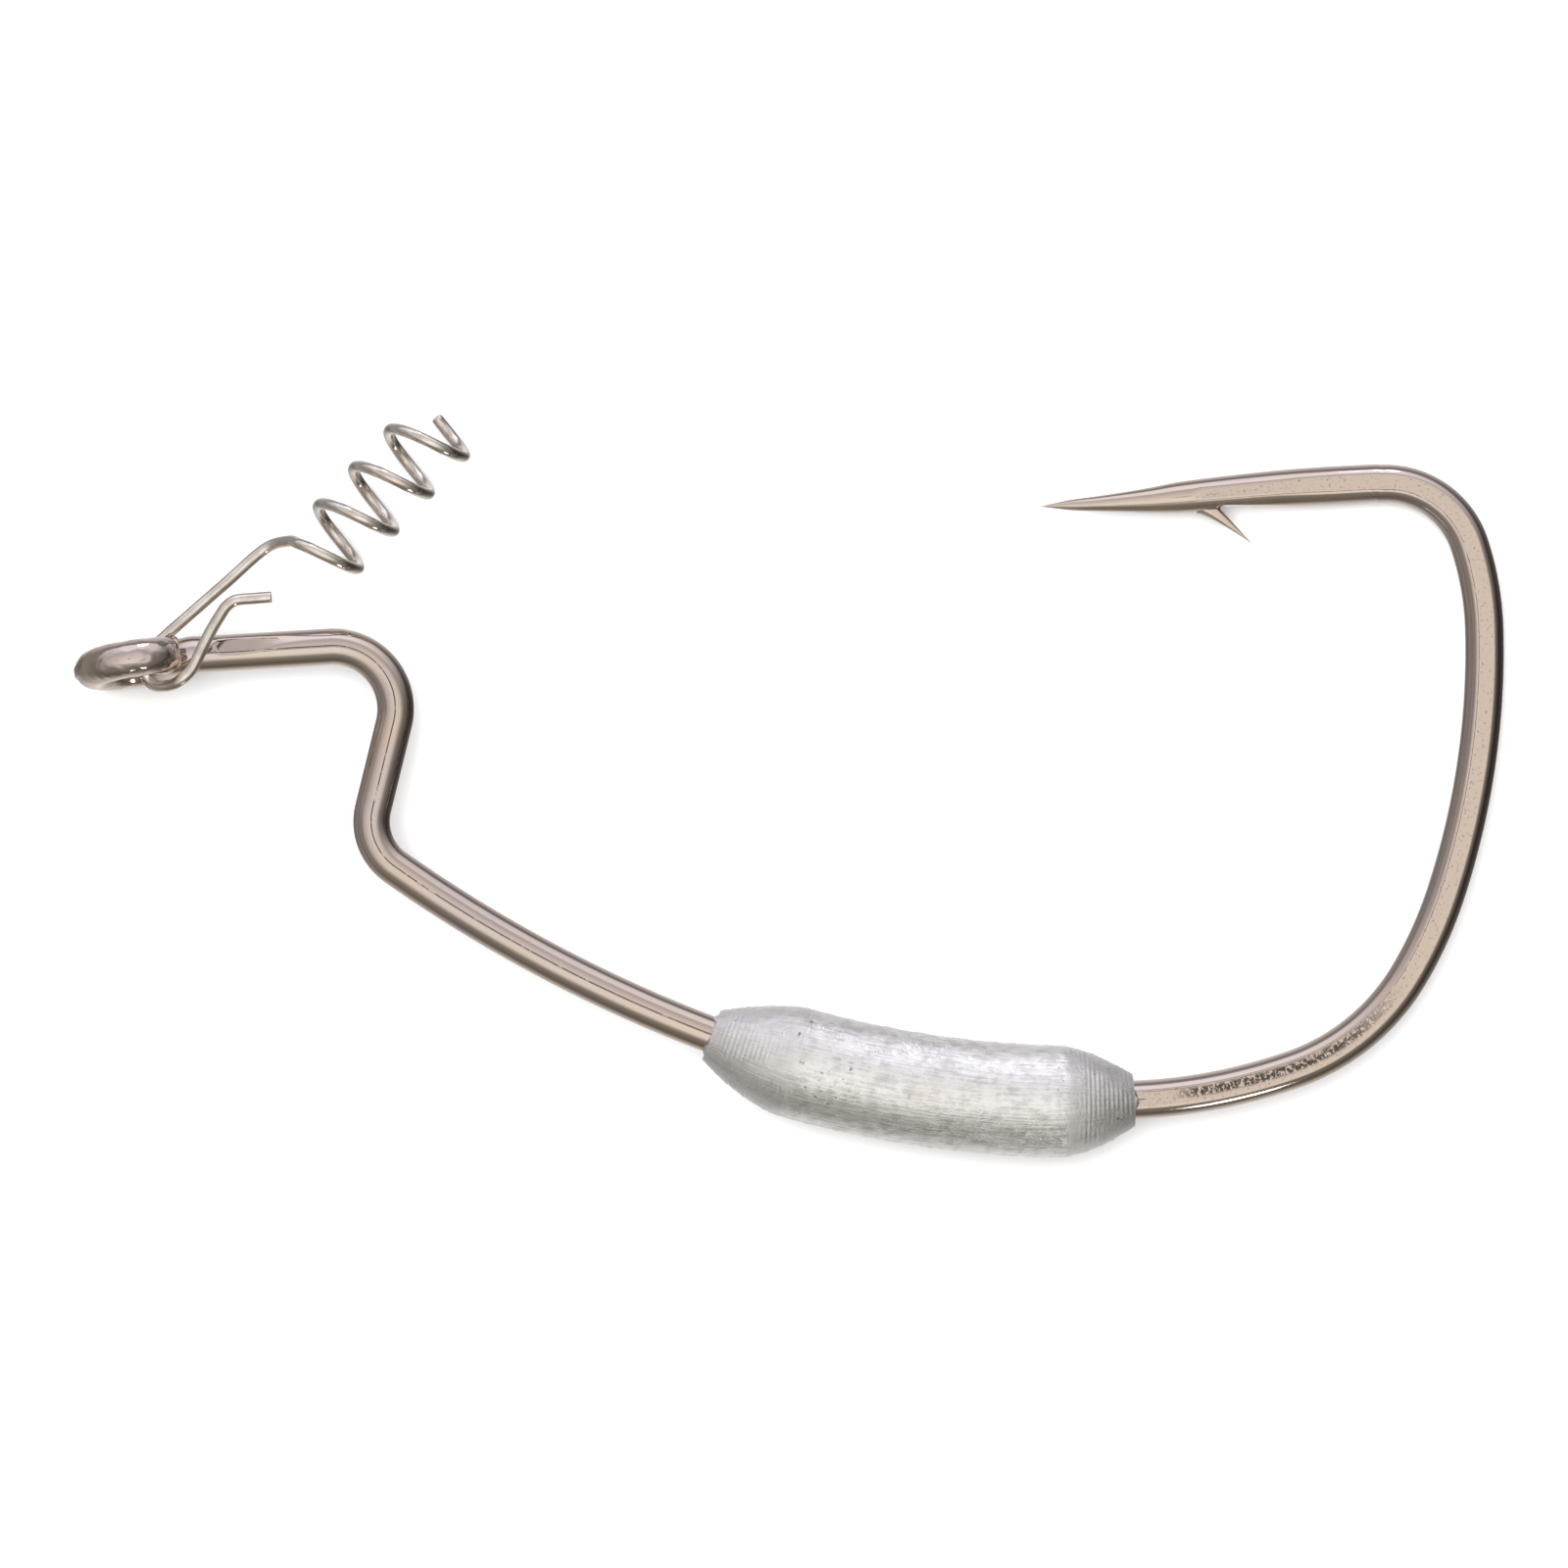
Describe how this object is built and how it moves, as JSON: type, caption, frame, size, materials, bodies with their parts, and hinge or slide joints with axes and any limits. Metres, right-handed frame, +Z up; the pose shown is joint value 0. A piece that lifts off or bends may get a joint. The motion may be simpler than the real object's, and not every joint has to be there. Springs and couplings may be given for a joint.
{
  "type": "weighted fishing hook with screw-lock keeper",
  "caption": "Offset wide-gape fishing hook with a cast belly weight on its shank and a screw-lock spring keeper swinging in its eye.",
  "frame": {"origin": "bottom centre of the whole object's box, on the surface it lies on", "axes": "+X from the eye to the bend, +Y from the shank towards the point, +Z up off the surface"},
  "size_m": [0.0758, 0.0394, 0.0062],
  "materials": {
    "black_nickel": "dark nickel plating, mirror-like, with pitted pressed flats",
    "cast_lead": "bright cast lead, grainy skin",
    "stainless_wire": "bright drawn spring wire"
  },
  "bodies": {
    "weighted_hook": {"hook": "black_nickel", "belly_weight": "cast_lead"},
    "keeper": {"keeper_spring": "stainless_wire"}
  },
  "joints": [
    {"name": "keeper_swing", "type": "hinge", "parent": "weighted_hook", "child": "keeper", "pos_m": [-0.0328, 0.00698, 0.00407], "axis": [0.5109, -0.2811, -0.8124], "range_deg": [0, 120]}
  ]
}
